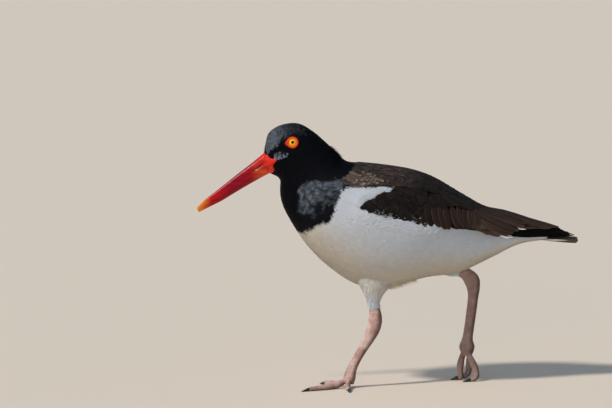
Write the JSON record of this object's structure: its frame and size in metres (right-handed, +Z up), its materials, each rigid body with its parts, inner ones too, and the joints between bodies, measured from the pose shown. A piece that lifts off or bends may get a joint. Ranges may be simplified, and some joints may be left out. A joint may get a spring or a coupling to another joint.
{
  "type": "american oystercatcher, walking",
  "caption": "Still life-size model of a walking black-hooded shorebird with a long coral bill, brown wings, white belly and pale pink legs.",
  "frame": {"origin": "on the floor, under the middle of the bird's box", "axes": "+X toward the tail, -X where the bird faces, -Y toward its left side, +Z up; the XZ plane halves the head and body"},
  "size_m": [0.3656, 0.1035, 0.2553],
  "materials": {
    "black_feathers": "soft black feathers with a faint blue-grey sheen",
    "brown_feathers": "dark brown feathers with paler worn edges",
    "white_feathers": "soft white feathers",
    "bill_horn": "smooth coral-red horn, orange-yellow at the tip",
    "eye": "wet, yellow iris round a black pupil",
    "eye_ring": "bare orange-red skin",
    "leg_skin": "pale pink scaly skin",
    "claw_horn": "blunt blackish horn"
  },
  "bodies": {
    "root": {"head": "black_feathers", "neck": "black_feathers", "torso": "white_feathers", "tail": "brown_feathers", "wing_left": "brown_feathers", "wing_right": "brown_feathers", "thigh_left": "white_feathers", "thigh_right": "white_feathers", "bill_upper": "bill_horn", "bill_lower": "bill_horn", "eye_left": "eye", "eye_right": "eye", "lid_left": "eye_ring", "lid_right": "eye_ring", "shank_left": "leg_skin", "shank_right": "leg_skin", "toe_left_inner": "leg_skin", "toe_left_middle": "leg_skin", "toe_left_outer": "leg_skin", "toe_right_inner": "leg_skin", "toe_right_middle": "leg_skin", "toe_right_outer": "leg_skin", "claw_left_inner": "claw_horn", "claw_left_middle": "claw_horn", "claw_left_outer": "claw_horn", "claw_right_inner": "claw_horn", "claw_right_middle": "claw_horn", "claw_right_outer": "claw_horn"}
  },
  "joints": []
}
